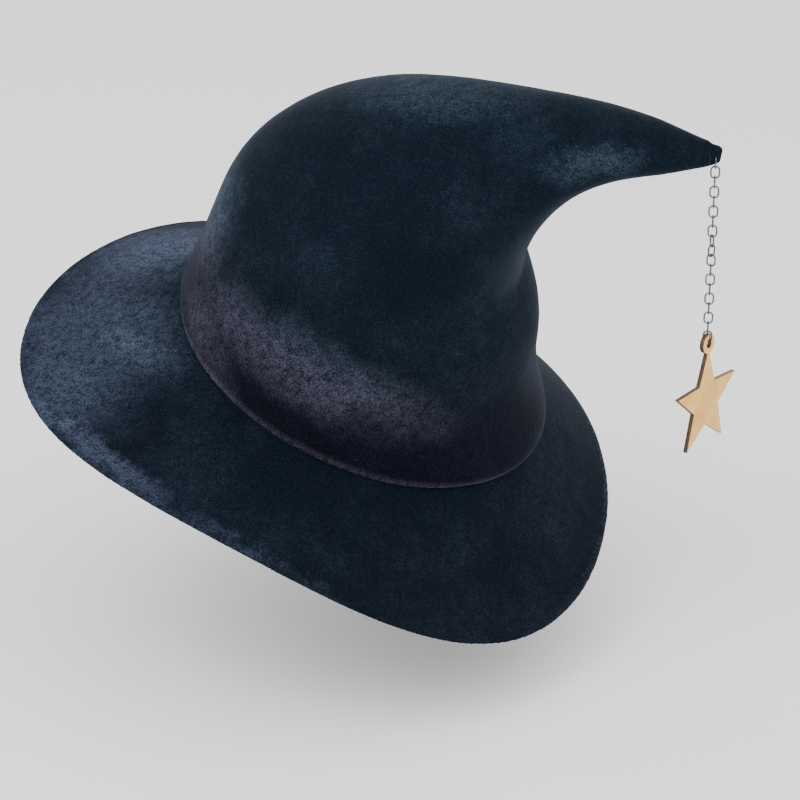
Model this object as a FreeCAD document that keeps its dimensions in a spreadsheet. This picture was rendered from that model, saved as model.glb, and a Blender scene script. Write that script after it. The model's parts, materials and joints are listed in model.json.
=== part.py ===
"""Witch hat: a felt crown drawn out into a bent horn, a wavy felt brim, a sweatband, and a star charm on a chain.

The hat stands as it is worn, leaning on the head, and its chain hangs straight down from the tip of the horn.
Origin: the middle of the head opening, where crown and brim are joined. +Z is up, and the horn points to +X.
The hat's own pieces are modelled upright and then take one leaning placement.
"""
import FreeCAD, Part
import math
import os
import Sketcher
from FreeCAD import Placement, Rotation, Vector

# ---------------------------------------------------------------------------------------------
# Driving dimensions, in millimetres and degrees
# ---------------------------------------------------------------------------------------------
DIMENSIONS = [
    ("lean", 29, "lean of the hat's own axis from upright"),
    ("lean_heading", -31, "compass heading that it leans towards, from +X towards +Y"),
    ("crown_long", 109, "half length of the crown where it meets the brim"),
    ("crown_wide", 95, "half width of the crown where it meets the brim"),
    ("crown_rise", 228, "height of the horn's tip over the brim, along the hat's axis"),
    ("horn_reach", 122.5, "distance of the horn's tip from the hat's axis"),
    ("felt_wall", 3, "thickness of the crown's felt"),
    ("brim_felt_wall", 3.2, "thickness of the brim's felt"),
    ("brim_width", 81, "mean width of the brim along its slope"),
    ("brim_slope", 29, "mean fall of the brim below level"),
    ("pinch_wall", 2.6, "thickness of the tip where it is pinched flat for the ring"),
    ("pinch_length", 5.6, "length of the pinched stretch"),
    ("pierce_bore", 1.9, "diameter of the pierced hole in the tip"),
    ("pierce_inset", 2.4, "distance of the hole from the end of the tip"),
    ("band_height", 32, "height of the sweatband"),
    ("band_wall", 0.9, "thickness of the sweatband"),
    ("band_gap", 0.4, "gap between the sweatband and the felt at the opening"),
    ("band_top_gap", 2.2, "gap between the sweatband and the felt at its top edge"),
    ("thread", 0.7, "diameter of the sewing thread"),
    ("seam_stitch", 6, "length of one stitch of the crown seam"),
    ("band_stitch", 3, "length of one stitch of the sweatband"),
    ("thread_gap", 0.05, "gap between a stitch and what it lies on"),
    ("wire", 0.9, "diameter of the chain's wire"),
    ("link_width", 5.3, "outer width of a link"),
    ("link_length", 7.2, "outer length of a link"),
    ("link_play", 0.06, "gap between the wires of two links where they hang"),
    ("chain_turn", 8, "turn of the first links about the vertical"),
    ("star_radius", 30, "distance of a star point from the star's centre"),
    ("star_inner", 12.6, "distance of a star notch from the star's centre"),
    ("star_wall", 2.5, "thickness of the star"),
    ("star_turn", 66, "turn of the star about the vertical"),
    ("lug_radius", 5.5, "outer radius of the star's lug"),
    ("lug_bore", 4.8, "diameter of the hole in the lug"),
    ("lug_centre", 33, "distance of the lug's hole from the star's centre"),
    ("lug_seat", 1.65, "height of the lug's material over the wire's centre"),
]

# The rings that the crown is drawn through. Each gives its place along the reach and the rise of the horn,
# its tilt, and its half length and half width as shares of the crown's at the brim.
CROWN_RINGS = [
    (0.000, 0.000, 0, 1.000, 1.000),
    (-0.024, 0.079, 0, 1.000, 1.010),
    (-0.090, 0.232, 3, 0.917, 0.958),
    (-0.114, 0.386, 8, 0.862, 0.884),
    (-0.082, 0.518, 18, 0.706, 0.800),
    (0.049, 0.610, 34, 0.578, 0.663),
    (0.204, 0.702, 49, 0.431, 0.526),
    (0.376, 0.816, 59, 0.271, 0.358),
    (0.612, 0.912, 66, 0.161, 0.242),
    (0.816, 0.960, 70, 0.101, 0.153),
    (0.931, 0.987, 72, 0.064, 0.089),
    (0.980, 1.000, 73, 0.048, 0.058),
    (1.000, 1.005, 73, 0.033, 0.038),
]
LAST_HOLLOW_RING = 10
RING_POINTS = 24

# The brim's waves: each is a share of cos(n t) and of sin(n t), t going round from +X towards +Y.
WIDTH_WAVES = {1: (-4, -4), 3: (-4, -6)}
SLOPE_WAVES = {1: (-3, 13), 2: (5, 0), 3: (0, -4)}
BRIM_POINTS = 36
BRIM_SHARES = (0.25, 0.5, 0.75, 1)

LINK_COUNT = 19
# How far the chain has twisted by each link, where it isn't straight: it takes a quarter turn on the way down.
TWIST_START = 8
TWIST_STEPS = (20, 45, 70)
LAST_LINK_TURN = -16
QUARTER = 90

SEAM_STITCHES = 54
BAND_STITCHES = 60
STAR_POINTS = 5

doc = FreeCAD.newDocument("witch_hat")


def make_sheet():
    """The spreadsheet that every sub-part reads its sizes from."""
    sheet = doc.addObject("Spreadsheet::Sheet", "Dims")
    for row, (alias, value, meaning) in enumerate(DIMENSIONS, start=1):
        sheet.set(f"A{row}", meaning)
        sheet.set(f"B{row}", str(value))
        sheet.setAlias(f"B{row}", alias)
    doc.recompute()
    return sheet


sheet = make_sheet()


def dim(alias):
    return float(sheet.get(alias))


# ---------------------------------------------------------------------------------------------
# Places
# ---------------------------------------------------------------------------------------------
def leaning_placement():
    """Turns the upright hat over a level axis, so that its top leans towards the heading."""
    heading = math.radians(dim("lean_heading"))
    level_axis = Vector(-math.sin(heading), math.cos(heading), 0)
    return Placement(Vector(), Rotation(level_axis, dim("lean")))


HAT = leaning_placement()
UP = Vector(0, 0, 1)


def level(turn):
    """The level direction at this turn from +X."""
    return Vector(math.cos(math.radians(turn)), math.sin(math.radians(turn)), 0)


def oval_point(long, wide, t):
    return Vector(long * math.cos(t), wide * math.sin(t), 0)


def oval_normal(long, wide, t):
    """The outward direction, square to the oval at t."""
    normal = Vector(math.cos(t) / long, math.sin(t) / wide, 0)
    return normal.normalize()


def closed_curve(points):
    """One smooth closed edge through the points, as a wire."""
    curve = Part.BSplineCurve()
    curve.interpolate(Points=points, PeriodicFlag=True)
    return Part.Wire([curve.toShape()])


def angles(count):
    return [2 * math.pi * i / count for i in range(count)]


# ---------------------------------------------------------------------------------------------
# Crown
# ---------------------------------------------------------------------------------------------
def ring_wire(ring, inset):
    """One ring of the crown, drawn smaller by inset. Its long axis tips over with the horn."""
    reach, rise, tilt, long_share, wide_share = ring
    place = Placement(
        Vector(reach * dim("horn_reach"), 0, rise * dim("crown_rise")),
        Rotation(Vector(0, 1, 0), tilt),
    )
    long = long_share * dim("crown_long") - inset
    wide = wide_share * dim("crown_wide") - inset
    points = [place.multVec(oval_point(long, wide, t)) for t in angles(RING_POINTS)]
    return closed_curve(points)


def crown_form(inset, last):
    return Part.makeLoft([ring_wire(ring, inset) for ring in CROWN_RINGS[: last + 1]], True, False)


def tip_end():
    """The middle of the horn's blunt end, leaning."""
    return HAT.multVec(Vector(dim("horn_reach"), 0, dim("crown_rise")))


def pierce_point():
    """The middle of the pierced hole, in from the end along the horn's level direction."""
    inward = level(dim("chain_turn"))
    return tip_end() - inward * dim("pierce_inset")


def beside_the_tip(side):
    """The block of felt pressed away on one side of the pinched tip."""
    block_size = 16
    past_the_end = 6
    length = dim("pinch_length") + past_the_end
    inner_face = dim("pinch_wall") / 2 if side > 0 else -dim("pinch_wall") / 2 - block_size
    corner = Vector(-dim("pinch_length"), inner_face, -block_size / 2)
    block = Part.makeBox(length, block_size, block_size, corner)
    block.Placement = Placement(tip_end(), Rotation(UP, dim("chain_turn"))).multiply(block.Placement)
    return block


def pierced_hole():
    along = level(dim("chain_turn") + QUARTER)
    length = 4 * dim("pinch_wall")
    start = pierce_point() - along * (length / 2)
    return Part.makeCylinder(dim("pierce_bore") / 2, length, start, along)


def make_crown():
    """Free-form felt: a loft through rings whose long side changes over, so it is set from Part's own functions."""
    outer = crown_form(0, len(CROWN_RINGS) - 1)
    felt = outer.cut(crown_form(dim("felt_wall"), LAST_HOLLOW_RING))
    # the tools are placed in the leaning frame, so they are turned back to the upright one
    for tool in (beside_the_tip(1), beside_the_tip(-1), pierced_hole()):
        tool.Placement = HAT.inverse().multiply(tool.Placement)
        felt = felt.cut(tool)
    feature = doc.addObject("Part::Feature", "crown_felt")
    feature.Shape = felt.Solids[0]
    feature.Placement = HAT
    return feature


# ---------------------------------------------------------------------------------------------
# Brim
# ---------------------------------------------------------------------------------------------
def waves(mean, shares, t):
    return mean + sum(c * math.cos(n * t) + s * math.sin(n * t) for n, (c, s) in shares.items())


def brim_point(t, share, side):
    """A point at this share of the brim's width: on its upper face for side 1, lower face for -1."""
    long, wide, wall = dim("crown_long"), dim("crown_wide"), dim("brim_felt_wall")
    width = waves(dim("brim_width"), WIDTH_WAVES, t)
    slope = math.radians(waves(dim("brim_slope"), SLOPE_WAVES, t))
    out = oval_normal(long, wide, t)
    run = width * math.cos(slope) * share
    fall = width * math.sin(slope) * share
    middle = oval_point(long, wide, t) + out * run - UP * (fall + wall / 2)
    # the felt leaves the seam level and takes up its slope within the first part of its width
    bend = min(1, share * 4)
    square = out * (math.sin(slope) * bend) + UP * math.cos(slope * bend)
    return middle + square * (side * wall / 2)


def brim_loop(share, side):
    return closed_curve([brim_point(t, share, side) for t in angles(BRIM_POINTS)])


def edge_loop():
    """The rounded outer edge's furthest line, half a wall further out."""
    wall_share = dim("brim_felt_wall") / 2 / dim("brim_width")
    return closed_curve([brim_point(t, 1 + wall_share, 0) for t in angles(BRIM_POINTS)])


def seat_loop(inset, height):
    long = dim("crown_long") - inset
    wide = dim("crown_wide") - inset
    return closed_curve([oval_point(long, wide, t) + UP * height for t in angles(BRIM_POINTS)])


def ring_face(outer, inner):
    return Part.Face(outer).cut(Part.Face(inner)).Faces


def make_brim():
    """Wavy felt, flat only where the crown is sewn on: faces through closed loops, sewn into one solid."""
    wall = dim("brim_felt_wall")
    top = [seat_loop(0, 0)] + [brim_loop(share, 1) for share in BRIM_SHARES]
    bottom = [seat_loop(0, -wall)] + [brim_loop(share, -1) for share in BRIM_SHARES]
    top_inner = seat_loop(dim("felt_wall"), 0)
    bottom_inner = seat_loop(dim("felt_wall"), -wall)
    faces = Part.makeLoft(top, False, False).Faces
    faces += Part.makeLoft([top[-1], edge_loop(), bottom[-1]], False, False).Faces
    faces += Part.makeLoft(bottom, False, False).Faces
    faces += ring_face(top[0], top_inner) + ring_face(bottom[0], bottom_inner)
    faces += Part.makeLoft([top_inner, bottom_inner], False, True).Faces
    shell = Part.makeShell(faces)
    shell.sewShape()
    solid = Part.makeSolid(shell.Shells[0])
    if solid.Volume < 0:
        solid.reverse()
    feature = doc.addObject("Part::Feature", "brim_felt")
    feature.Shape = solid
    feature.Placement = HAT
    return feature


# ---------------------------------------------------------------------------------------------
# PartDesign helpers
# ---------------------------------------------------------------------------------------------
def new_body(name):
    body = doc.addObject("PartDesign::Body", name)
    body.Label = name
    return body


def plane_of(body, role):
    return next(f for f in body.Origin.OriginFeatures if f.Role == role)


def new_sketch(body, name, role):
    sketch = body.newObject("Sketcher::SketchObject", name)
    sketch.AttachmentSupport = (plane_of(body, role), [""])
    sketch.MapMode = "FlatFace"
    return sketch


def bind(sketch, kind, args, value, expression):
    """Adds a dimension to the sketch and ties it to the sheet."""
    index = sketch.addConstraint(Sketcher.Constraint(kind, *args, value))
    sketch.setExpression(f"Constraints[{index}]", expression)
    return index


# ---------------------------------------------------------------------------------------------
# Sweatband
# ---------------------------------------------------------------------------------------------
def band_share():
    """How far up the crown's second ring the band reaches, for the shift that it shares with the felt."""
    return dim("band_height") / (CROWN_RINGS[2][1] * dim("crown_rise"))


def oval_sketch(body, name, long, wide, height, shift):
    """An oval sketch: each size is a value and the expression that drives it."""
    sketch = new_sketch(body, name, "XY_Plane")
    sketch.AttachmentOffset = Placement(Vector(shift[0], 0, height[0]), Rotation())
    sketch.setExpression("AttachmentOffset.Base.x", shift[1])
    sketch.setExpression("AttachmentOffset.Base.z", height[1])
    sketch.addGeometry(Part.Ellipse(Vector(long[0], 0, 0), Vector(0, wide[0], 0), Vector()), False)
    sketch.exposeInternalGeometry(0)
    sketch.addConstraint(Sketcher.Constraint("Coincident", 0, 3, -1, 1))
    sketch.addConstraint(Sketcher.Constraint("Horizontal", 1))
    bind(sketch, "Distance", (1,), 2 * long[0], f"2 * ({long[1]})")
    bind(sketch, "Distance", (2,), 2 * wide[0], f"2 * ({wide[1]})")
    return sketch


def band_sizes(face):
    """The sizes of the band's lower and upper oval on its outer face (0) or its inner face (1)."""
    wall = face * dim("band_wall")
    less = f" - {face} * Dims.band_wall"
    low_inset = dim("felt_wall") + dim("band_gap") + wall
    low = "- Dims.felt_wall - Dims.band_gap" + less
    share = band_share()
    up_shift = CROWN_RINGS[2][0] * share * dim("horn_reach")
    up_long = (1 - (1 - CROWN_RINGS[2][3]) * share) * dim("crown_long")
    up_wide = (1 - (1 - CROWN_RINGS[2][4]) * share) * dim("crown_wide")
    reach = f"Dims.band_height / ({CROWN_RINGS[2][1]} * Dims.crown_rise)"
    up_inset = dim("felt_wall") + dim("band_top_gap") + wall
    up = "- Dims.felt_wall - Dims.band_top_gap" + less
    low_oval = (
        (dim("crown_long") - low_inset, f"Dims.crown_long {low}"),
        (dim("crown_wide") - low_inset, f"Dims.crown_wide {low}"),
        (-dim("brim_felt_wall"), "-Dims.brim_felt_wall"),
        (0, "0 * Dims.horn_reach"),
    )
    up_oval = (
        (up_long - up_inset, f"(1 - {1 - CROWN_RINGS[2][3]:.3f} * {reach}) * Dims.crown_long {up}"),
        (up_wide - up_inset, f"(1 - {1 - CROWN_RINGS[2][4]:.3f} * {reach}) * Dims.crown_wide {up}"),
        (dim("band_height"), "Dims.band_height"),
        (up_shift, f"{CROWN_RINGS[2][0]} * {reach} * Dims.horn_reach"),
    )
    return low_oval, up_oval


def make_sweatband():
    """A ribbon of even thickness, standing against the felt and sewn in along its lower edge."""
    body = new_body("sweatband")
    for face, feature_type in ((0, "PartDesign::AdditiveLoft"), (1, "PartDesign::SubtractiveLoft")):
        low, up = band_sizes(face)
        low_sketch = oval_sketch(body, f"band_low_{face}", *low)
        up_sketch = oval_sketch(body, f"band_up_{face}", *up)
        loft = body.newObject(feature_type, f"band_loft_{face}")
        loft.Profile = low_sketch
        loft.Sections = [up_sketch]
        doc.recompute()
    body.Placement = HAT
    return body


# ---------------------------------------------------------------------------------------------
# Stitches
# ---------------------------------------------------------------------------------------------
def stitch(start, end):
    """One stitch: a short round thread with rounded ends."""
    radius = dim("thread") / 2
    run = end - start
    bar = Part.makeCylinder(radius, run.Length, start, run)
    return bar.fuse(Part.makeSphere(radius, start)).fuse(Part.makeSphere(radius, end)).removeSplitter()


def make_seam_stitches():
    """The crown seam's stitches: radial bars under the brim, from the opening outwards."""
    height = -dim("brim_felt_wall") - dim("thread") / 2 - dim("thread_gap")
    inset = dim("felt_wall") - dim("thread")
    bars = []
    for t in angles(SEAM_STITCHES):
        start = oval_point(dim("crown_long") - inset, dim("crown_wide") - inset, t) + UP * height
        out = oval_normal(dim("crown_long"), dim("crown_wide"), t)
        slope = math.radians(waves(dim("brim_slope"), SLOPE_WAVES, t))
        fall = UP * (math.sin(slope) * dim("seam_stitch"))
        end = start + out * dim("seam_stitch") * math.cos(slope) - fall
        bars.append(stitch(start, end))
    feature = doc.addObject("Part::Feature", "seam_stitches")
    feature.Shape = Part.makeCompound(bars)
    feature.Placement = HAT
    return feature


def make_band_stitches():
    """The sweatband's stitches: level bars on its inner face, a little over its lower edge."""
    low, up = band_sizes(1)
    above_edge = 4
    share = (above_edge + dim("brim_felt_wall")) / (dim("band_height") + dim("brim_felt_wall"))
    clear = dim("thread") / 2 + dim("thread_gap")
    long, wide, height, shift = (a[0] + (b[0] - a[0]) * share for a, b in zip(low, up))
    # a straight bar inside a curve comes nearer to it at its ends, by its rise over the chord
    sagitta = dim("band_stitch") ** 2 / (8 * dim("crown_wide") ** 2 / dim("crown_long"))
    bars = []
    for t in angles(BAND_STITCHES):
        out = oval_normal(long, wide, t)
        along = UP.cross(out)
        middle = oval_point(long, wide, t) - out * (2 * clear + sagitta) + Vector(shift, 0, height)
        bars.append(stitch(middle - along * dim("band_stitch") / 2, middle + along * dim("band_stitch") / 2))
    feature = doc.addObject("Part::Feature", "sweatband_stitches")
    feature.Shape = Part.makeCompound(bars)
    feature.Placement = HAT
    return feature


# ---------------------------------------------------------------------------------------------
# Chain
# ---------------------------------------------------------------------------------------------
def wire_reach():
    """Half the distance between the wire's centres at a link's two ends."""
    return (dim("link_length") - dim("wire")) / 2


def link_pitch():
    return 2 * wire_reach() - dim("wire") - dim("link_play")


def pierce_lift():
    """How far the first link's wire stands over the middle of the pierced hole: half its own bow in the felt."""
    bow = (dim("link_width") - dim("wire")) / 2
    return (bow - math.sqrt(bow**2 - (dim("pinch_wall") / 2) ** 2)) / 2


def chain_top():
    return pierce_point() + UP * pierce_lift()


def link_turn(number):
    """The turn of a link about the vertical. Neighbours are square to each other, and the chain twists once."""
    step = number - TWIST_START
    twist = 0 if step <= 0 else QUARTER if step > len(TWIST_STEPS) else TWIST_STEPS[step - 1]
    towards_the_star = LAST_LINK_TURN if number == LINK_COUNT else 0
    return dim("chain_turn") + (QUARTER if number % 2 else 0) + twist + towards_the_star


def link_centre(number):
    return chain_top() - UP * (wire_reach() + (number - 1) * link_pitch())


def make_link(number):
    """One oval link, bent from round wire: a circle carried round a path of two straights and two bows."""
    name = f"chain_link_{number:02d}"
    body = new_body(name)
    bow = (dim("link_width") - dim("wire")) / 2
    straight = (dim("link_length") - dim("link_width")) / 2
    path = new_sketch(body, f"{name}_path", "XZ_Plane")
    right = Part.LineSegment(Vector(bow, straight, 0), Vector(bow, -straight, 0))
    low = Part.ArcOfCircle(Part.Circle(Vector(0, -straight, 0), UP, bow), math.pi, 2 * math.pi)
    left = Part.LineSegment(Vector(-bow, -straight, 0), Vector(-bow, straight, 0))
    high = Part.ArcOfCircle(Part.Circle(Vector(0, straight, 0), UP, bow), 0, math.pi)
    path.addGeometry([right, low, left, high], False)
    path.addConstraint(
        [
            Sketcher.Constraint("Tangent", 0, 2, 1, 2),
            Sketcher.Constraint("Tangent", 1, 1, 2, 1),
            Sketcher.Constraint("Tangent", 2, 2, 3, 2),
            Sketcher.Constraint("Tangent", 3, 1, 0, 1),
            Sketcher.Constraint("Vertical", 0),
            Sketcher.Constraint("Symmetric", 1, 3, 3, 3, -1, 1),
        ]
    )
    bind(path, "Radius", (1,), bow, "(Dims.link_width - Dims.wire) / 2")
    bind(path, "DistanceY", (1, 3, 3, 3), 2 * straight, "Dims.link_length - Dims.link_width")
    section = new_sketch(body, f"{name}_section", "XY_Plane")
    section.AttachmentOffset = Placement(Vector(0, 0, straight), Rotation())
    section.setExpression("AttachmentOffset.Base.z", "(Dims.link_length - Dims.link_width) / 2")
    section.addGeometry(Part.Circle(Vector(bow, 0, 0), UP, dim("wire") / 2), False)
    section.addConstraint(Sketcher.Constraint("PointOnObject", 0, 3, -1))
    bind(section, "DistanceX", (-1, 1, 0, 3), bow, "(Dims.link_width - Dims.wire) / 2")
    bind(section, "Diameter", (0,), dim("wire"), "Dims.wire")
    pipe = body.newObject("PartDesign::AdditivePipe", f"{name}_wire")
    pipe.Profile = section
    pipe.Spine = path
    body.Placement = Placement(link_centre(number), Rotation(UP, link_turn(number)))
    return body


# ---------------------------------------------------------------------------------------------
# Star charm
# ---------------------------------------------------------------------------------------------
def star_centre():
    """The lug's hole hangs on the last link's lower wire, and the star's centre is under it."""
    wire_height = link_centre(LINK_COUNT).z - wire_reach()
    hole_height = wire_height + dim("lug_seat") - dim("lug_bore") / 2
    return Vector(chain_top().x, chain_top().y, hole_height - dim("lug_centre"))


def arm_sketch(body):
    """One arm of the star with its share of the middle: a kite from the centre to the upper point."""
    half = math.pi / STAR_POINTS
    notch = Vector(dim("star_inner") * math.sin(half), dim("star_inner") * math.cos(half), 0)
    mirrored = Vector(-notch.x, notch.y, 0)
    tip = Vector(0, dim("star_radius"), 0)
    corners = [Vector(), notch, tip, mirrored]
    sketch = new_sketch(body, "star_arm", "XZ_Plane")
    for index, corner in enumerate(corners):
        sketch.addGeometry(Part.LineSegment(corner, corners[(index + 1) % 4]), False)
    for index in range(4):
        sketch.addConstraint(Sketcher.Constraint("Coincident", index, 2, (index + 1) % 4, 1))
    sketch.addConstraint(Sketcher.Constraint("Coincident", 0, 1, -1, 1))
    sketch.addConstraint(Sketcher.Constraint("PointOnObject", 2, 1, -2))
    sketch.addConstraint(Sketcher.Constraint("Symmetric", 0, 2, 3, 1, -2))
    bind(sketch, "DistanceY", (-1, 1, 2, 1), tip.y, "Dims.star_radius")
    bind(sketch, "DistanceY", (-1, 1, 0, 2), notch.y, f"Dims.star_inner * cos({math.degrees(half)})")
    bind(sketch, "DistanceX", (-1, 1, 0, 2), notch.x, f"Dims.star_inner * sin({math.degrees(half)})")
    return sketch


def lug_circle(body, name, radius, expression):
    sketch = new_sketch(body, name, "XZ_Plane")
    sketch.addGeometry(Part.Circle(Vector(0, dim("lug_centre"), 0), UP, radius), False)
    sketch.addConstraint(Sketcher.Constraint("PointOnObject", 0, 3, -2))
    bind(sketch, "DistanceY", (-1, 1, 0, 3), dim("lug_centre"), "Dims.lug_centre")
    bind(sketch, "Radius", (0,), radius, expression)
    return sketch


def make_star():
    """A flat five-pointed star, cut from sheet, with a round pierced lug at its upper point."""
    body = new_body("star_charm")
    arm = body.newObject("PartDesign::Pad", "arm")
    arm.Profile = arm_sketch(body)
    arm.Midplane = True
    arm.setExpression("Length", "Dims.star_wall")
    doc.recompute()
    arms = body.newObject("PartDesign::PolarPattern", "arms")
    arms.Originals = [arm]
    arms.Axis = (arm.Profile[0], ["N_Axis"])
    arms.Angle = 360
    arms.Occurrences = STAR_POINTS
    body.Tip = arms
    doc.recompute()
    lug = body.newObject("PartDesign::Pad", "lug")
    lug.Profile = lug_circle(body, "lug_outline", dim("lug_radius"), "Dims.lug_radius")
    lug.Midplane = True
    lug.setExpression("Length", "Dims.star_wall")
    doc.recompute()
    bore = body.newObject("PartDesign::Pocket", "lug_bore")
    bore.Profile = lug_circle(body, "bore_outline", dim("lug_bore") / 2, "Dims.lug_bore / 2")
    bore.Type = "ThroughAll"
    bore.Midplane = True
    body.Placement = Placement(star_centre(), Rotation(UP, dim("star_turn")))
    return body


# ---------------------------------------------------------------------------------------------
# Build, check and write
# ---------------------------------------------------------------------------------------------
def check_document():
    for item in doc.Objects:
        bad = [state for state in item.State if state in ("Invalid", "Error")]
        if bad:
            raise RuntimeError(f"{item.Label} is {bad}")


def check_bore(star):
    """The lug's hole has to take its own volume out of the star."""
    before = doc.getObject("lug").Shape.Volume
    after = doc.getObject("lug_bore").Shape.Volume
    hole = math.pi * (dim("lug_bore") / 2) ** 2 * dim("star_wall")
    if abs(before - after - hole) > 0.02 * hole:
        raise RuntimeError("the lug's hole isn't cut through")


nodes = [make_crown(), make_brim(), make_sweatband(), make_seam_stitches(), make_band_stitches()]
nodes += [make_link(number) for number in range(1, LINK_COUNT + 1)]
nodes += [make_star()]
doc.recompute()
check_document()
check_bore(nodes[-1])
for node in nodes:
    if node.Shape.isNull() or not node.Shape.isValid():
        raise RuntimeError(f"{node.Label} has no valid shape")

os.makedirs("parts", exist_ok=True)
for node in nodes:
    node.Shape.exportStep(f"parts/{node.Label}.step")
    print(f"{node.Label}: {len(node.Shape.Solids)} solids, {node.Shape.Volume:.1f} mm3")

wires = [chain_top()] + [link_centre(n) - UP * wire_reach() for n in range(1, LINK_COUNT + 1)]
for number, point in enumerate(wires, start=1):
    print(f"hinge {number}: {point.x:.4f} {point.y:.4f} {point.z:.4f} wire turn {link_turn(max(number - 1, 1)):.1f}")
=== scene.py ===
# %% [markdown]
# # A felt witch hat with a star on a chain
# The hat is a crown of felt drawn out into a bent horn, a wavy brim, a ribbon inside, and a chain with a star.
# The CAD frame holds every size and every joint. This lesson gives each piece its real surface.
# The frame comes first, because each piece is made in the place that the frame gives it.

# %% Load the frame
import json
import math

import bpy
from mathutils import Matrix, Vector

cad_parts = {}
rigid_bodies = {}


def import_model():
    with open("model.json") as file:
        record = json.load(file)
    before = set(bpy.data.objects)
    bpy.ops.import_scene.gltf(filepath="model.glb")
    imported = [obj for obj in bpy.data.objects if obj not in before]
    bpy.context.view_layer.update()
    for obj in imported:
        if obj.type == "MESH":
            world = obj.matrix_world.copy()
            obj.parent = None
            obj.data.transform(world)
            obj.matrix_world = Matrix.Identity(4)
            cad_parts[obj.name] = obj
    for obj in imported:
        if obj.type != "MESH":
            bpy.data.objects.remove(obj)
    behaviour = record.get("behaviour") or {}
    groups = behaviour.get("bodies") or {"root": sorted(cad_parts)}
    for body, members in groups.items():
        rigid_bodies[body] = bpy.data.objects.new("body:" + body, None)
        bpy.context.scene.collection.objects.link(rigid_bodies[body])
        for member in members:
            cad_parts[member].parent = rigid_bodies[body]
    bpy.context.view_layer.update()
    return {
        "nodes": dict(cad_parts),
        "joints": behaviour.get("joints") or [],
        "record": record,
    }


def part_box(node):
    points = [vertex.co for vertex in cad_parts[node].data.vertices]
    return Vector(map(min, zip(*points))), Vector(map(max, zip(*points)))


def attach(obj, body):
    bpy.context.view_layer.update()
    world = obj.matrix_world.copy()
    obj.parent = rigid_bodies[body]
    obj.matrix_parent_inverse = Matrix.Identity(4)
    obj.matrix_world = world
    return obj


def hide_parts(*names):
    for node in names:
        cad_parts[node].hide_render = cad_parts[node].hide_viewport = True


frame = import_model()
MM = 0.001

# %% [markdown]
# ## The hat's own axis
# The hat leans on its head, so "up the crown" isn't +Z. The record's mount gives the way out of the
# opening, and the opposite way is the hat's axis. The ribbon's ribs and the painted highlight along the seam
# follow it.

# %% The hat's axis and a turn that lays it upright
mount = next(m for m in frame["record"]["mounts"] if m["name"] == "head_opening")
OPENING = Vector(mount["pos_m"])
HAT_AXIS = -Vector(mount["axis"]).normalized()
TO_UPRIGHT = Vector((0, 0, 1)).rotation_difference(HAT_AXIS).inverted()
print("hat axis:", tuple(round(c, 3) for c in HAT_AXIS))

# %% [markdown]
# ## Small helpers
# An operator acts on everything that is selected, so `only` clears the selection before a piece is worked on.
# `finish_modifier` applies a modifier at once, so a finished piece is a plain mesh.


# %% Selecting and applying
def only(piece):
    if bpy.context.object and bpy.context.object.mode != "OBJECT":
        bpy.ops.object.mode_set(mode="OBJECT")
    bpy.ops.object.select_all(action="DESELECT")
    piece.select_set(True)
    bpy.context.view_layer.objects.active = piece


def finish_modifier(piece, kind, **settings):
    only(piece)
    modifier = piece.modifiers.new(kind.lower(), kind)
    for name, value in settings.items():
        setattr(modifier, name, value)
    bpy.ops.object.modifier_apply(modifier=modifier.name)


def select_points(piece, test):
    """Selects the points that pass the test, in edit mode."""
    bpy.ops.object.mode_set(mode="EDIT")
    bpy.ops.mesh.select_mode(type="VERT")
    bpy.ops.mesh.select_all(action="DESELECT")
    bpy.ops.object.mode_set(mode="OBJECT")
    for point in piece.data.vertices:
        point.select = test(point.co)
    bpy.ops.object.mode_set(mode="EDIT")


# %% [markdown]
# ## Felt: crown and brim
# The real felt is a thick wool cloth, steamed and pulled over a block, so it has no corners and no flat spots.
# It could be drawn again ring by ring, but the CAD solids already have its true walls. So a copy of each
# solid is welded and remeshed into small even squares. Two displacements then give it the slight dents of a
# hand and the finer unevenness of brushed wool. The squares are nearly as wide as the hole pierced in the
# horn's tip, so that hole closes here, although the CAD solid has it.


# %% A felt piece from its CAD solid
def cad_copy(node, name):
    source = frame["nodes"][node]
    piece = bpy.data.objects.new(name, source.data.copy())
    bpy.context.scene.collection.objects.link(piece)
    piece.data.materials.clear()
    only(piece)
    bpy.ops.object.mode_set(mode="EDIT")
    bpy.ops.mesh.select_all(action="SELECT")
    bpy.ops.mesh.remove_doubles(threshold=0.02 * MM)
    bpy.ops.object.mode_set(mode="OBJECT")
    return piece


def clouds(name, size):
    texture = bpy.data.textures.new(name, "CLOUDS")
    texture.noise_scale = size
    texture.noise_depth = 2
    return texture


DENTS = clouds("hand_dents", 45 * MM)
NAP_CLUMPS = clouds("nap_clumps", 3.5 * MM)


def felt_piece(node, name, square, dent, clump):
    piece = cad_copy(node, name)
    piece.data.remesh_voxel_size = square
    piece.data.remesh_voxel_adaptivity = 0
    bpy.ops.object.voxel_remesh()
    finish_modifier(piece, "SMOOTH", factor=0.5, iterations=6)
    for texture, strength in ((DENTS, dent), (NAP_CLUMPS, clump)):
        finish_modifier(
            piece, "DISPLACE", texture=texture, texture_coords="LOCAL", strength=strength, mid_level=0.5
        )
    only(piece)
    bpy.ops.object.shade_smooth()
    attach(piece, "hat")
    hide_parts(node)
    print(name, "has", len(piece.data.polygons), "faces")
    return piece


crown = felt_piece("crown_felt", "felt_crown", 1.5 * MM, 0.9 * MM, 0.10 * MM)
brim = felt_piece("brim_felt", "felt_brim", 1.4 * MM, 0.7 * MM, 0.10 * MM)

# %% [markdown]
# ## Chain links
# A cable chain's link is a bent wire whose two ends meet on one long side. A torus is the wire bent round,
# and moving its upper and lower halves apart leaves the two straight sides. Three cuts and a pinch show where
# the ends meet. It could be swept along a path instead, but a torus gives even rings to cut.

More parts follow.
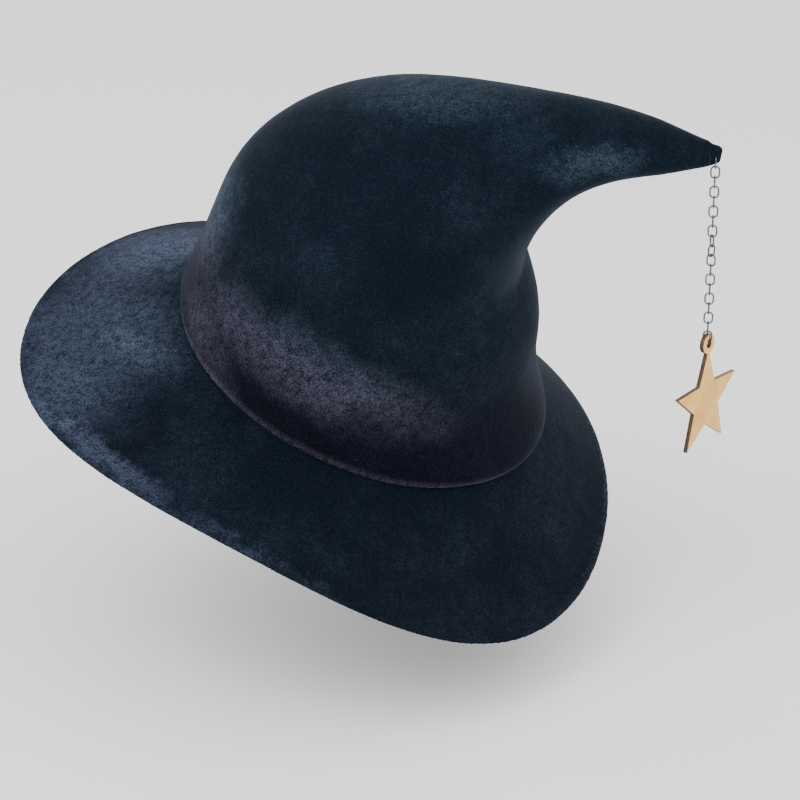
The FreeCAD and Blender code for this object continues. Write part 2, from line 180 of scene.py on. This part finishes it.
# %% One link
WIRE = 0.9 * MM
LINK_WIDTH = 5.3 * MM
LINK_LENGTH = 7.2 * MM
SLIT = 0.12 * MM
SLIT_PINCH = 0.82


def model_link():
    bow = (LINK_WIDTH - WIRE) / 2
    straight = (LINK_LENGTH - LINK_WIDTH) / 2
    bpy.ops.object.select_all(action="DESELECT")
    bpy.ops.mesh.primitive_torus_add(
        major_radius=bow,
        minor_radius=WIRE / 2,
        major_segments=40,
        minor_segments=14,
        rotation=(math.pi / 2, 0, 0),
    )
    link = bpy.context.object
    link.name = "link_form"
    bpy.ops.object.transform_apply(location=False, rotation=True, scale=True)
    only(link)
    # the rings at middle height stay, and each half moves away from them by half the straight length
    for side in (1, -1):
        select_points(link, lambda co: co.z * side > bow * 0.05)
        bpy.ops.transform.translate(value=(0, 0, side * straight))
    for height in (-SLIT, 0, SLIT):
        select_points(link, lambda co: co.x > 0)
        bpy.ops.mesh.bisect(plane_co=(0, 0, height), plane_no=(0, 0, 1))
    select_points(link, lambda co: co.x > 0 and abs(co.z) < SLIT / 4)  # the middle cut only
    bpy.ops.transform.resize(value=(SLIT_PINCH, SLIT_PINCH, 1), center_override=(bow, 0, 0))
    bpy.ops.object.mode_set(mode="OBJECT")
    bpy.ops.object.shade_smooth()
    return link


link_form = model_link()

# %% [markdown]
# Each link of the chain is the same link, turned. So each place takes a copy of the form's mesh, moved to the
# middle of its CAD link and turned to the level line that the piece below it swings about.

# %% The nineteen links in their places
links = []
for node in sorted(n for n in frame["nodes"] if n.startswith("chain_link_")):
    body = node.replace("chain_", "")
    below = next(j for j in frame["joints"] if j["parent"] == body)
    low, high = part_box(node)
    turn = math.atan2(below["axis"][1], below["axis"][0])
    link = bpy.data.objects.new(node.replace("chain_link", "wire_link"), link_form.data.copy())
    bpy.context.scene.collection.objects.link(link)
    link.data.transform(Matrix.Translation((low + high) / 2) @ Matrix.Rotation(turn, 4, "Z"))
    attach(link, body)
    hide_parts(node)
    links.append(link)
bpy.data.objects.remove(link_form)
print("links:", len(links))

# %% [markdown]
# ## Star
# The star is laser-cut from acrylic sheet with a gold mirror film, so its face is bright and its edge is dark.
# The CAD shape is right, and what it lacks is the fine worn edge. A narrow bevel catches the light there.
# The face and the cut edge then get a material each, told apart by the way that they face.


# %% Bevel the star and part its faces from its edge
def model_star():
    star = cad_copy("star_charm", "gold_star")
    bpy.ops.object.mode_set(mode="EDIT")
    bpy.ops.mesh.select_all(action="SELECT")
    bpy.ops.mesh.dissolve_limited(angle_limit=math.radians(2))
    bpy.ops.object.mode_set(mode="OBJECT")
    finish_modifier(
        star, "BEVEL", width=0.14 * MM, segments=2, limit_method="ANGLE", angle_limit=math.radians(40)
    )
    only(star)
    bpy.ops.object.shade_smooth_by_angle(angle=math.radians(35))
    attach(star, "star")
    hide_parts("star_charm")
    return star


star = model_star()
largest = max(star.data.polygons, key=lambda face: face.area)
STAR_NORMAL = largest.normal.copy()
print("star faces:", len(star.data.polygons), "facing", tuple(round(c, 2) for c in STAR_NORMAL))

# %% [markdown]
# ## Ribbon and stitches
# The sweatband is woven grosgrain. Its CAD solid is right, and the ribs are far too fine for a mesh,
# so it is only welded and smoothed here and its ribs come in the material. The thread keeps its CAD solids.

# %% The sweatband
ribbon = cad_copy("sweatband", "grosgrain_band")
finish_modifier(
    ribbon, "BEVEL", width=0.2 * MM, segments=2, limit_method="ANGLE", angle_limit=math.radians(50)
)
only(ribbon)
bpy.ops.object.shade_smooth_by_angle(angle=math.radians(40))
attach(ribbon, "hat")
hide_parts("sweatband")
print("ribbon faces:", len(ribbon.data.polygons))

# %% [markdown]
# ## Materials
# Each material is a small graph. `node` adds one node with its settings and links its inputs, and `colour`
# turns an sRGB hex value, as a colour picker gives it, into the linear values that the shader works in.


# %% Material helpers
def colour(code):
    channels = [int(code[i : i + 2], 16) / 255 for i in (1, 3, 5)]
    linear = [c / 12.92 if c <= 0.04045 else ((c + 0.055) / 1.055) ** 2.4 for c in channels]
    return (*linear, 1)


def node(tree, kind, settings=None, **inputs):
    """Adds a node. An input is a value or a node's output. In its name __ is a space, and i2 is number 2."""
    made = tree.nodes.new(kind)
    for name, value in (settings or {}).items():
        setattr(made, name, value)
    for name, value in inputs.items():
        key = int(name[1:]) if name.startswith("i") and name[1:].isdigit() else name.replace("__", " ")
        socket = made.inputs[key]
        if isinstance(value, bpy.types.NodeSocket):
            tree.links.new(value, socket)
        else:
            socket.default_value = value
    return made


def new_material(name):
    material = bpy.data.materials.new(name)
    material.use_nodes = True
    tree = material.node_tree
    return material, tree, tree.nodes["Principled BSDF"]


def object_place(tree):
    return node(tree, "ShaderNodeTexCoord").outputs["Object"]


def ramp(tree, value, low, high):
    """0 at low, 1 at high, smooth between."""
    smooth = {"interpolation_type": "SMOOTHSTEP"}
    made = node(tree, "ShaderNodeMapRange", smooth, Value=value, From__Min=low, From__Max=high)
    return made.outputs["Result"]


def maths(tree, operation, a, b=0.0):
    return node(tree, "ShaderNodeMath", {"operation": operation}, i0=a, i1=b).outputs["Value"]


def mixed(tree, factor, a, b):
    made = node(tree, "ShaderNodeMix", {"data_type": "RGBA"}, Factor=factor, i6=a, i7=b)
    return made.outputs[2]


# %% [markdown]
# ### Velour felt
# Wool felt with a brushed nap: dark blue-black dye, no gloss, and a soft grey in random patches. Broad paler
# ovals are painted sheen, where the nap catches the light at a grazing angle, and darker ones are painted
# shade;
# each is placed on the felt, with its edges broken by noise. A single fibre is about 0.02 mm, too fine to
# show, so the grain is drawn 1 mm wide, over tufts of 4.5 mm.

# %% Felt
NAP_GRAIN = 1.0 * MM
NAP_TUFT = 4.5 * MM
BRUSH_PATCH = 55 * MM
EDGE_BREAK = 16 * MM
PATCH_SHARE = 0.05
BARE_SHARE = 0.01
SEAM_RAGGED = 7 * MM


def noise(tree, place, size, detail=3.0, roughness=0.6, output="Fac"):
    made = node(
        tree, "ShaderNodeTexNoise", None, Vector=place, Scale=1 / size, Detail=detail, Roughness=roughness
    )
    return made.outputs[output]


def broken_place(tree, place):
    """The place, pushed about by noise, so that shapes drawn in it have ragged edges."""
    push = noise(tree, place, 22 * MM, 5.0, 0.7, "Color")
    centred = node(tree, "ShaderNodeVectorMath", {"operation": "SUBTRACT"}, i0=push, i1=(0.5, 0.5, 0.5))
    both_ways = EDGE_BREAK * 2
    scaled = node(tree, "ShaderNodeVectorMath", {"operation": "SCALE"}, i0=centred.outputs[0], Scale=both_ways)
    return node(tree, "ShaderNodeVectorMath", {"operation": "ADD"}, i0=place, i1=scaled.outputs[0]).outputs[0]


def soft_oval(tree, place, start, end, depth, width):
    """A soft oval from start to end, 1 in its middle and 0 at its rim. All sizes are in mm."""
    along = Vector(end) - Vector(start)
    turn = Vector((1, 0, 0)).rotation_difference(along).to_euler()
    mapping = node(
        tree,
        "ShaderNodeMapping",
        {"vector_type": "TEXTURE"},
        Vector=place,
        Location=(Vector(start) + Vector(end)) / 2 * MM,
        Rotation=turn,
        Scale=Vector((along.length / 2, depth, width)) * MM,
    )
    distance = node(tree, "ShaderNodeVectorMath", {"operation": "LENGTH"}, i0=mapping.outputs["Vector"])
    return ramp(tree, distance.outputs["Value"], 1.15, 0.2)


def felt_material(name, painted_light_ovals, darks, pales, level, painted_seam_highlight):
    """An oval's strength adds pale colour as painted sheen, or, if negative, takes it away as painted shade.
    The hue changes at the height level.
    """
    material, tree, shader = new_material(name)
    place = object_place(tree)
    ragged = broken_place(tree, place)
    grain = noise(tree, place, NAP_GRAIN, 3.0, 0.75)
    tuft = noise(tree, place, NAP_TUFT, 4.0, 0.7)
    patch = ramp(tree, noise(tree, place, BRUSH_PATCH, 6.0, 0.68), 0.40, 0.70)
    pale_tone_and_painted_light = maths(tree, "ADD", maths(tree, "MULTIPLY", patch, PATCH_SHARE), BARE_SHARE)
    # each oval adds painted sheen, or darkens the pale share as painted shade where its strength is negative
    for start, end, depth, width, strength in painted_light_ovals:
        oval = maths(tree, "MULTIPLY", soft_oval(tree, ragged, start, end, depth, width), strength)
        if strength > 0:
            pale_tone_and_painted_light = maths(tree, "ADD", pale_tone_and_painted_light, oval)
        else:
            pale_tone_and_painted_light = maths(tree, "MULTIPLY", pale_tone_and_painted_light, maths(tree, "ADD", oval, 1.0))
    upright = node(tree, "ShaderNodeVectorMath", {"operation": "DOT_PRODUCT"}, i0=place, i1=HAT_AXIS)
    height = upright.outputs["Value"]
    # a painted highlight in a ragged band low round the crown, where the nap at the seam catches the light
    if painted_seam_highlight:
        ragged_height = maths(tree, "ADD", height, maths(tree, "MULTIPLY", tuft, SEAM_RAGGED))
        seam_highlight = ramp(tree, ragged_height, 11 * MM, 6 * MM)
        pale_tone_and_painted_light = maths(tree, "ADD", pale_tone_and_painted_light, maths(tree, "MULTIPLY", seam_highlight, painted_seam_highlight))
    # the pale tone and the painted sheen show as specks: fine grain, and tufts at a little over half its
    # strength
    tufts = maths(tree, "MULTIPLY", ramp(tree, tuft, 0.35, 0.65), 0.6)
    lying = maths(tree, "ADD", ramp(tree, grain, 0.42, 0.64), tufts)
    specks = maths(tree, "ADD", maths(tree, "MULTIPLY", lying, 1.15), 0.12)
    speckled = maths(tree, "MULTIPLY", pale_tone_and_painted_light, specks)
    lit = node(tree, "ShaderNodeClamp", None, Value=speckled).outputs["Result"]
    upper = ramp(tree, height, level - 35 * MM, level + 35 * MM)
    pale = mixed(tree, upper, colour(pales[0]), colour(pales[1]))
    deep = mixed(tree, upper, colour(darks[0]), colour(darks[1]))
    dark = mixed(tree, ramp(tree, grain, 0.5, 0.75), deep, colour("#13202E"))
    tree.links.new(mixed(tree, lit, dark, pale), shader.inputs["Base Color"])
    shader.inputs["Roughness"].default_value = 0.95
    shader.inputs["Specular IOR Level"].default_value = 0.05
    shader.inputs["Sheen Weight"].default_value = 0.2
    shader.inputs["Sheen Roughness"].default_value = 0.3
    shader.inputs["Sheen Tint"].default_value = colour("#9AA7BC")
    relief = maths(tree, "ADD", maths(tree, "MULTIPLY", grain, 0.7), tuft)
    bump = node(tree, "ShaderNodeBump", None, Strength=0.6, Distance=0.5 * MM, Height=relief)
    tree.links.new(bump.outputs["Normal"], shader.inputs["Normal"])
    return material


# each oval, painted sheen, or painted shade where its strength is negative: its start and end on the felt, its
# depth and its half width, in mm, and then its strength
CROWN_PAINTED_SHEEN_AND_SHADE = [
    # the crown: painted sheen across its front, up its left side, along its top edge and under the horn; the
    # last two ovals are painted shade
    ((-96, -84, 74), (84, -92, -14), 60, 27, 0.27),
    ((-95, -40, 66), (-50, -70, 128), 50, 30, 0.30),
    ((-92, -50, 66), (-50, -96, -4), 50, 18, 0.22),
    ((-20, -35, 168), (128, -45, 172), 50, 11, 0.14),
    ((112, -78, 140), (172, -68, 152), 40, 13, 0.18),
    ((10, -100, 96), (90, -95, 74), 50, 26, -0.75),
    ((0, -92, 4), (50, -84, -8), 40, 12, -0.5),
]
BRIM_PAINTED_SHEEN = [
    # the brim: painted sheen on its left side, along its far edge and along its near, rolled edge
    ((-225, -30, 25), (-70, -70, 15), 80, 36, 0.30),
    ((-185, -75, 5), (-95, -115, -12), 30, 22, 0.18),
    ((-190, 20, 35), (-60, 50, 70), 60, 26, 0.50),
    ((-138, -46, 24), (-86, -78, 12), 16, 12, 0.12),
    ((-180, -90, 2), (-50, -168, -34), 12, 9, 0.34),
    ((-70, -160, -30), (40, -160, -82), 10, 8, 0.18),
    ((105, 30, -60), (125, -60, -90), 50, 30, 0.04),
]
LOWER_DARK, UPPER_DARK = "#060813", "#060F18"
# the crown's 0.25 is the strength of its painted seam highlight; the brim has none
crown_felt = felt_material(
    "wool_velour_crown", CROWN_PAINTED_SHEEN_AND_SHADE, (LOWER_DARK, UPPER_DARK), ("#5C5669", "#4F6272"), 62 * MM, 0.25
)
brim_felt = felt_material(
    "wool_velour_brim", BRIM_PAINTED_SHEEN, ("#050A14", UPPER_DARK), ("#4F5A70", "#5A6A7C"), 0, 0
)
crown.data.materials.append(crown_felt)
brim.data.materials.append(brim_felt)
print("felt done")

# %% [markdown]
# ### Polished steel wire
# Drawn steel wire, tumbled and a little dulled. It is a metal, so its colour is its reflection, and small dark
# spots of handling break its shine. The slit and the crossings look dark by shadow alone.


# %% Steel
def steel_material():
    material, tree, shader = new_material("tumbled_steel_wire")
    place = object_place(tree)
    dull = noise(tree, place, 1.1 * MM, 3.0)
    base = mixed(tree, ramp(tree, dull, 0.35, 0.7), colour("#6E6D6D"), colour("#454547"))
    tree.links.new(base, shader.inputs["Base Color"])
    tree.links.new(ramp(tree, dull, 0.15, 1.6), shader.inputs["Roughness"])
    shader.inputs["Metallic"].default_value = 1
    scratches = noise(tree, place, 0.25 * MM, 2.0)
    bump = node(tree, "ShaderNodeBump", None, Strength=0.12, Distance=0.02 * MM, Height=scratches)
    tree.links.new(bump.outputs["Normal"], shader.inputs["Normal"])
    return material


STEEL = steel_material()
for link in links:
    link.data.materials.append(STEEL)

# %% [markdown]
# ### Gold mirror acrylic
# The film is a metal under clear plastic, smooth and faintly wavy, so it reflects the room in yellow. The
# laser leaves the cut edge brown and a little rough, with fine dark and light spots.


# %% Gold
def gold_face():
    material, tree, shader = new_material("gold_mirror_film")
    place = object_place(tree)
    cloud = noise(tree, place, 14 * MM, 2.0)
    base = mixed(tree, ramp(tree, cloud, 0.35, 0.7), colour("#EDBE6C"), colour("#E2AE5A"))
    tree.links.new(base, shader.inputs["Base Color"])
    shader.inputs["Metallic"].default_value = 1
    tree.links.new(ramp(tree, cloud, -1.2, 2.6), shader.inputs["Roughness"])
    shader.inputs["Coat Weight"].default_value = 0.1
    shader.inputs["Coat Roughness"].default_value = 0.08
    wave = noise(tree, place, 9 * MM, 1.0)
    bump = node(tree, "ShaderNodeBump", None, Strength=0.15, Distance=0.1 * MM, Height=wave)
    tree.links.new(bump.outputs["Normal"], shader.inputs["Normal"])
    return material


def burnt_edge():
    material, tree, shader = new_material("laser_cut_acrylic_edge")
    place = object_place(tree)
    burn = noise(tree, place, 0.7 * MM, 3.0)
    base = mixed(tree, ramp(tree, burn, 0.4, 0.75), colour("#1E1108"), colour("#7A4C22"))
    tree.links.new(base, shader.inputs["Base Color"])
    shader.inputs["Roughness"].default_value = 0.38
    shader.inputs["IOR"].default_value = 1.49
    bump = node(tree, "ShaderNodeBump", None, Strength=0.3, Distance=0.05 * MM, Height=burn)
    tree.links.new(bump.outputs["Normal"], shader.inputs["Normal"])
    return material


star.data.materials.append(gold_face())
star.data.materials.append(burnt_edge())
for face in star.data.polygons:
    face.material_index = 0 if abs(face.normal.dot(STAR_NORMAL)) > 0.5 else 1

# %% [markdown]
# ### Grosgrain and thread
# Grosgrain's ribs run across the ribbon, about one a millimetre, so they are upright round the head. The angle
# round the hat's axis, times the number of ribs, drives a wave, which bumps the ribs and paints the grooves
# between them darker as painted shade. Thread is a dull dark polyester.


# %% Ribbon and thread
RIB_COUNT = 560


def grosgrain():
    material, tree, shader = new_material("black_grosgrain")
    place = object_place(tree)
    turn = TO_UPRIGHT.to_euler()
    upright = node(tree, "ShaderNodeMapping", {"vector_type": "POINT"}, Vector=place, Rotation=turn)
    angle = node(tree, "ShaderNodeTexGradient", {"gradient_type": "RADIAL"}, Vector=upright.outputs["Vector"])
    phase = maths(tree, "MULTIPLY", angle.outputs["Fac"], RIB_COUNT * 2 * math.pi)
    rib = maths(tree, "SINE", phase)
    # painted shade: the grooves between the ribs are darker and the crests paler
    base = mixed(tree, ramp(tree, rib, -1.0, 1.0), colour("#0B0B0D"), colour("#1E1E22"))
    tree.links.new(base, shader.inputs["Base Color"])
    shader.inputs["Roughness"].default_value = 0.7
    shader.inputs["Sheen Weight"].default_value = 0.2
    bump = node(tree, "ShaderNodeBump", None, Strength=0.6, Distance=0.2 * MM, Height=rib)
    tree.links.new(bump.outputs["Normal"], shader.inputs["Normal"])
    return material


def thread_material():
    material, tree, shader = new_material("polyester_thread")
    twist = noise(tree, object_place(tree), 0.4 * MM, 2.0)
    base = mixed(tree, twist, colour("#10151C"), colour("#2A323D"))
    tree.links.new(base, shader.inputs["Base Color"])
    shader.inputs["Roughness"].default_value = 0.6
    bump = node(tree, "ShaderNodeBump", None, Strength=0.4, Distance=0.1 * MM, Height=twist)
    tree.links.new(bump.outputs["Normal"], shader.inputs["Normal"])
    return material


ribbon.data.materials.append(grosgrain())
THREAD = thread_material()
for name in ("seam_stitches", "sweatband_stitches"):
    stitches = frame["nodes"][name]
    stitches.data.materials.clear()
    stitches.data.materials.append(THREAD)
print("materials:", len(bpy.data.materials))

# %% [markdown]
# ## Studio
# A pale floor and a soft white room: one large light from the upper left, a weaker one from the right, and a
# bright even world. The hat is held up by its mount, so the floor lies clear below it.


# %% Floor, lights and world
def add_light(name, place, size, power):
    data = bpy.data.lights.new(name, "AREA")
    data.size = size
    data.energy = power
    light = bpy.data.objects.new(name, data)
    bpy.context.scene.collection.objects.link(light)
    light.location = place
    light.rotation_euler = (-Vector(place)).to_track_quat("-Z", "Y").to_euler()
    return light


FLOOR_DROP = 0.16
bpy.ops.object.select_all(action="DESELECT")
bpy.ops.mesh.primitive_plane_add(size=30, location=(0, 0, -FLOOR_DROP))
floor = bpy.context.object
floor.name = "floor"
floor_material, _, floor_shader = new_material("pale_floor")
floor_shader.inputs["Base Color"].default_value = colour("#FFFFFF")
floor_shader.inputs["Roughness"].default_value = 0.9
floor.data.materials.append(floor_material)

add_light("key", (-0.7, -0.9, 1.3), 1.0, 14)
add_light("fill", (1.1, -0.8, 0.7), 1.2, 6)
world = bpy.data.worlds.new("white_room")
world.use_nodes = True
world.node_tree.nodes["Background"].inputs["Color"].default_value = (1, 1, 1, 1)
world.node_tree.nodes["Background"].inputs["Strength"].default_value = 1.45
bpy.context.scene.world = world

# %% [markdown]
# ## Camera
# A long lens a metre and a half away, a little above the hat and a little to its right.

# %% Camera
CAMERA_TURN = math.radians(14)
CAMERA_RISE = math.radians(22)
CAMERA_DISTANCE = 1.5
back = Vector(
    (
        math.sin(CAMERA_TURN) * math.cos(CAMERA_RISE),
        -math.cos(CAMERA_TURN) * math.cos(CAMERA_RISE),
        math.sin(CAMERA_RISE),
    )
)
camera_data = bpy.data.cameras.new("camera")
camera_data.lens = 118
camera = bpy.data.objects.new("camera", camera_data)
bpy.context.scene.collection.objects.link(camera)
camera.rotation_mode = "QUATERNION"
camera.rotation_quaternion = (-back).to_track_quat("-Z", "Y")
right = camera.rotation_quaternion @ Vector((1, 0, 0))
up = camera.rotation_quaternion @ Vector((0, 1, 0))
# the hat's opening stands a little left of the middle of the view and over it
ASIDE = 22.3 * MM
BELOW = 24.6 * MM
camera.location = OPENING + right * ASIDE - up * BELOW + back * CAMERA_DISTANCE
bpy.context.scene.camera = camera
